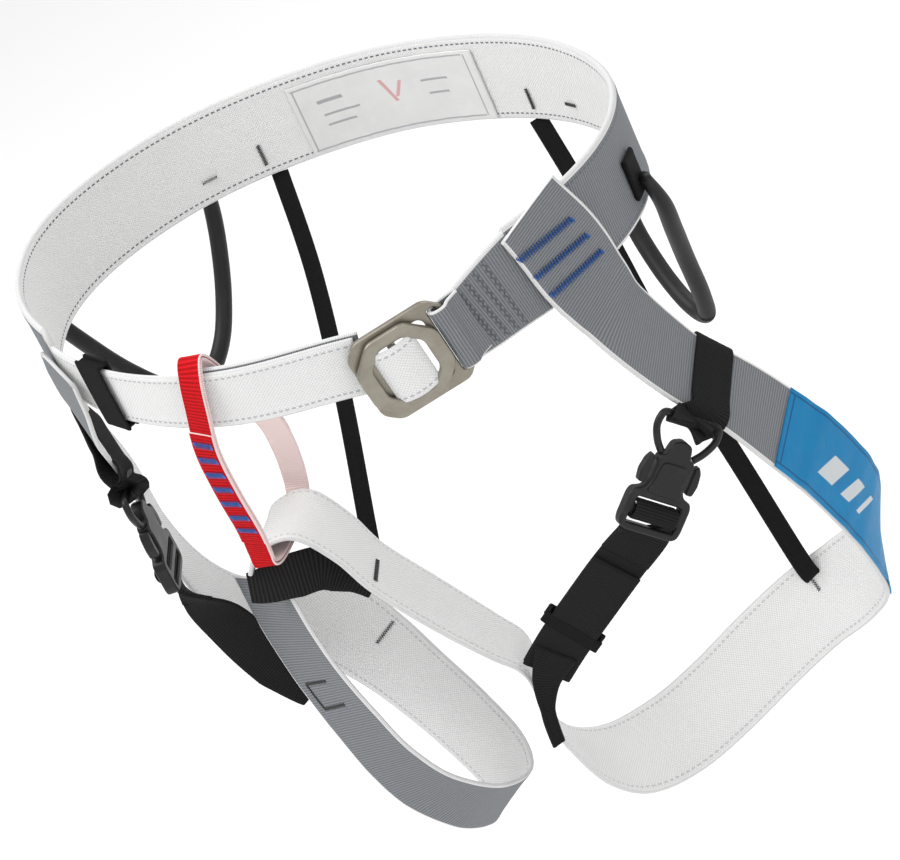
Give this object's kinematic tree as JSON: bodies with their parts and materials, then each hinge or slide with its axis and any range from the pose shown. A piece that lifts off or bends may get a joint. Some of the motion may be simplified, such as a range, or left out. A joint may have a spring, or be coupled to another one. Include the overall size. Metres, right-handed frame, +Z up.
{
  "type": "climbing harness",
  "caption": "Adjustable sit harness with a buckled waist belt, a belay loop, two webbing leg loops with clip-on adjusting straps, elastic risers and gear loops.",
  "frame": {"origin": "centre of the waist ring, on the belt's mid-height plane", "axes": "+Z up along the wearer's body, -Y the wearer's front, +X the wearer's left"},
  "size_m": [0.3858, 0.2679, 0.3618],
  "materials": {
    "white_webbing": "woven, matte",
    "grey_webbing": "ribbed weave, matte",
    "label_satin": "satin",
    "blue_satin": "satin",
    "red_webbing": "ribbed weave, matte",
    "blue_thread": "bar tack thread",
    "grey_thread": "thread",
    "black_thread": "bar tack thread",
    "black_webbing": "ribbed weave, matte",
    "black_elastic": "knitted elastic, matte",
    "black_plastic": "fine texture",
    "black_sheath": "extruded, semi-matte",
    "titanium_alloy": "satin anodised"
  },
  "bodies": {
    "harness": {"waist_belt": "white_webbing", "leg_loop_l": "white_webbing", "leg_loop_r": "white_webbing", "crotch_bridge": "white_webbing", "front_strap": "white_webbing", "riser_r": "white_webbing", "riser_l": "grey_webbing", "buckle_tab": "grey_webbing", "strap_layer": "grey_webbing", "waist_label": "label_satin", "hip_patch": "blue_satin", "riser_tacks": "blue_thread", "tab_stitches": "grey_thread", "belt_tacks": "black_thread", "leg_tacks": "black_thread", "crotch_lining": "black_webbing", "leg_band_l": "black_webbing", "leg_band_r": "black_webbing", "leg_strap_l": "black_webbing", "leg_strap_r": "black_webbing", "strap_end_l": "black_webbing", "gear_tabs_l": "black_webbing", "gear_tabs_r": "black_webbing", "elastic_l": "black_elastic", "elastic_r": "black_elastic", "buckle_frame": "titanium_alloy"},
    "waist_keeper": {"waist_keeper": "black_elastic"},
    "buckle_plate": {"buckle_plate": "titanium_alloy", "strap_crown": "white_webbing"},
    "belay_loop": {"belay_loop": "red_webbing", "belay_tacks": "blue_thread"},
    "gear_loop_l": {"gear_loop_l": "black_sheath"},
    "gear_loop_r": {"gear_loop_r": "black_sheath"},
    "clip_ring_l": {"clip_ring_l": "black_plastic"},
    "clip_ring_r": {"clip_ring_r": "black_plastic"},
    "clip_body_l": {"clip_body_l": "black_plastic", "clip_web_l": "black_webbing"},
    "clip_body_r": {"clip_body_r": "black_plastic", "clip_web_r": "black_webbing"},
    "lever_ll": {"clip_levers_ll": "black_plastic"},
    "lever_lr": {"clip_levers_lr": "black_plastic"},
    "lever_rl": {"clip_levers_rl": "black_plastic"},
    "lever_rr": {"clip_levers_rr": "black_plastic"},
    "strap_keeper_l": {"strap_keeper_l": "black_elastic"}
  },
  "joints": [
    {"name": "waist_keeper_slide", "type": "slide", "parent": "harness", "child": "waist_keeper", "axis": [-0.8453, 0.5343, 0], "range_m": [-0.008, 0.006]},
    {"name": "buckle_plate_tilt", "type": "hinge", "parent": "harness", "child": "buckle_plate", "pos_m": [0.09387, -0.10532, -0.00631], "axis": [-0.1123, -0.0633, 0.9917], "range_deg": [0, 25]},
    {"name": "belay_loop_swing", "type": "hinge", "parent": "harness", "child": "belay_loop", "pos_m": [-0.018, -0.126, 0], "axis": [-0.9901, 0.1401, 0], "range_deg": [-0.7, 1.5]},
    {"name": "gear_loop_l_swing", "type": "hinge", "parent": "harness", "child": "gear_loop_l", "pos_m": [0.1355, 0.054, -0.007], "axis": [0.4971, -0.8677, 0], "range_deg": [0, 50]},
    {"name": "gear_loop_r_swing", "type": "hinge", "parent": "harness", "child": "gear_loop_r", "pos_m": [-0.1355, 0.054, -0.007], "axis": [0.4971, 0.8677, 0], "range_deg": [0, 50]},
    {"name": "clip_swing_l", "type": "hinge", "parent": "harness", "child": "clip_ring_l", "pos_m": [0.1685, -0.0595, -0.101], "axis": [0.5628, 0.3649, -0.7417], "range_deg": [-2.4, 2.4], "deforming": ["leg_strap_l"]},
    {"name": "clip_release_l", "type": "slide", "parent": "clip_ring_l", "child": "clip_body_l", "axis": [-0.5506, -0.5038, -0.6656], "range_m": [0, 0.008], "deforming": ["leg_strap_l"]},
    {"name": "lever_press_ll", "type": "hinge", "parent": "clip_body_l", "child": "lever_ll", "pos_m": [0.14225, -0.0816, -0.11454], "axis": [-0.6165, 0.783, -0.0826], "range_deg": [0, 4], "stiffness_Nm_per_rad": 0.05},
    {"name": "lever_press_lr", "type": "hinge", "parent": "clip_body_l", "child": "lever_lr", "pos_m": [0.15665, -0.07226, -0.13352], "axis": [0.6165, -0.783, 0.0826], "range_deg": [0, 4], "stiffness_Nm_per_rad": 0.05},
    {"name": "clip_swing_r", "type": "hinge", "parent": "harness", "child": "clip_ring_r", "pos_m": [-0.104, -0.095, -0.062], "axis": [0.3011, -0.9536, 0], "range_deg": [-2.4, 2.4], "deforming": ["leg_strap_r"]},
    {"name": "clip_release_r", "type": "slide", "parent": "clip_ring_r", "child": "clip_body_r", "axis": [0, 0, -1], "range_m": [0, 0.008], "deforming": ["leg_strap_r"]},
    {"name": "lever_press_rl", "type": "hinge", "parent": "clip_body_r", "child": "lever_rl", "pos_m": [-0.10785, -0.08279, -0.0966], "axis": [0.9536, 0.3011, 0], "range_deg": [0, 4], "stiffness_Nm_per_rad": 0.05},
    {"name": "lever_press_rr", "type": "hinge", "parent": "clip_body_r", "child": "lever_rr", "pos_m": [-0.10015, -0.10721, -0.0966], "axis": [-0.9536, -0.3011, 0], "range_deg": [0, 4], "stiffness_Nm_per_rad": 0.05},
    {"name": "strap_keeper_slide", "type": "slide", "parent": "harness", "child": "strap_keeper_l", "axis": [-0.7245, 0.0362, -0.6883], "range_m": [-0.006, 0.006]}
  ],
  "couplings": [
    {"joint": "lever_press_lr", "follows": "lever_press_ll", "ratio": 1},
    {"joint": "lever_press_rr", "follows": "lever_press_rl", "ratio": 1}
  ]
}
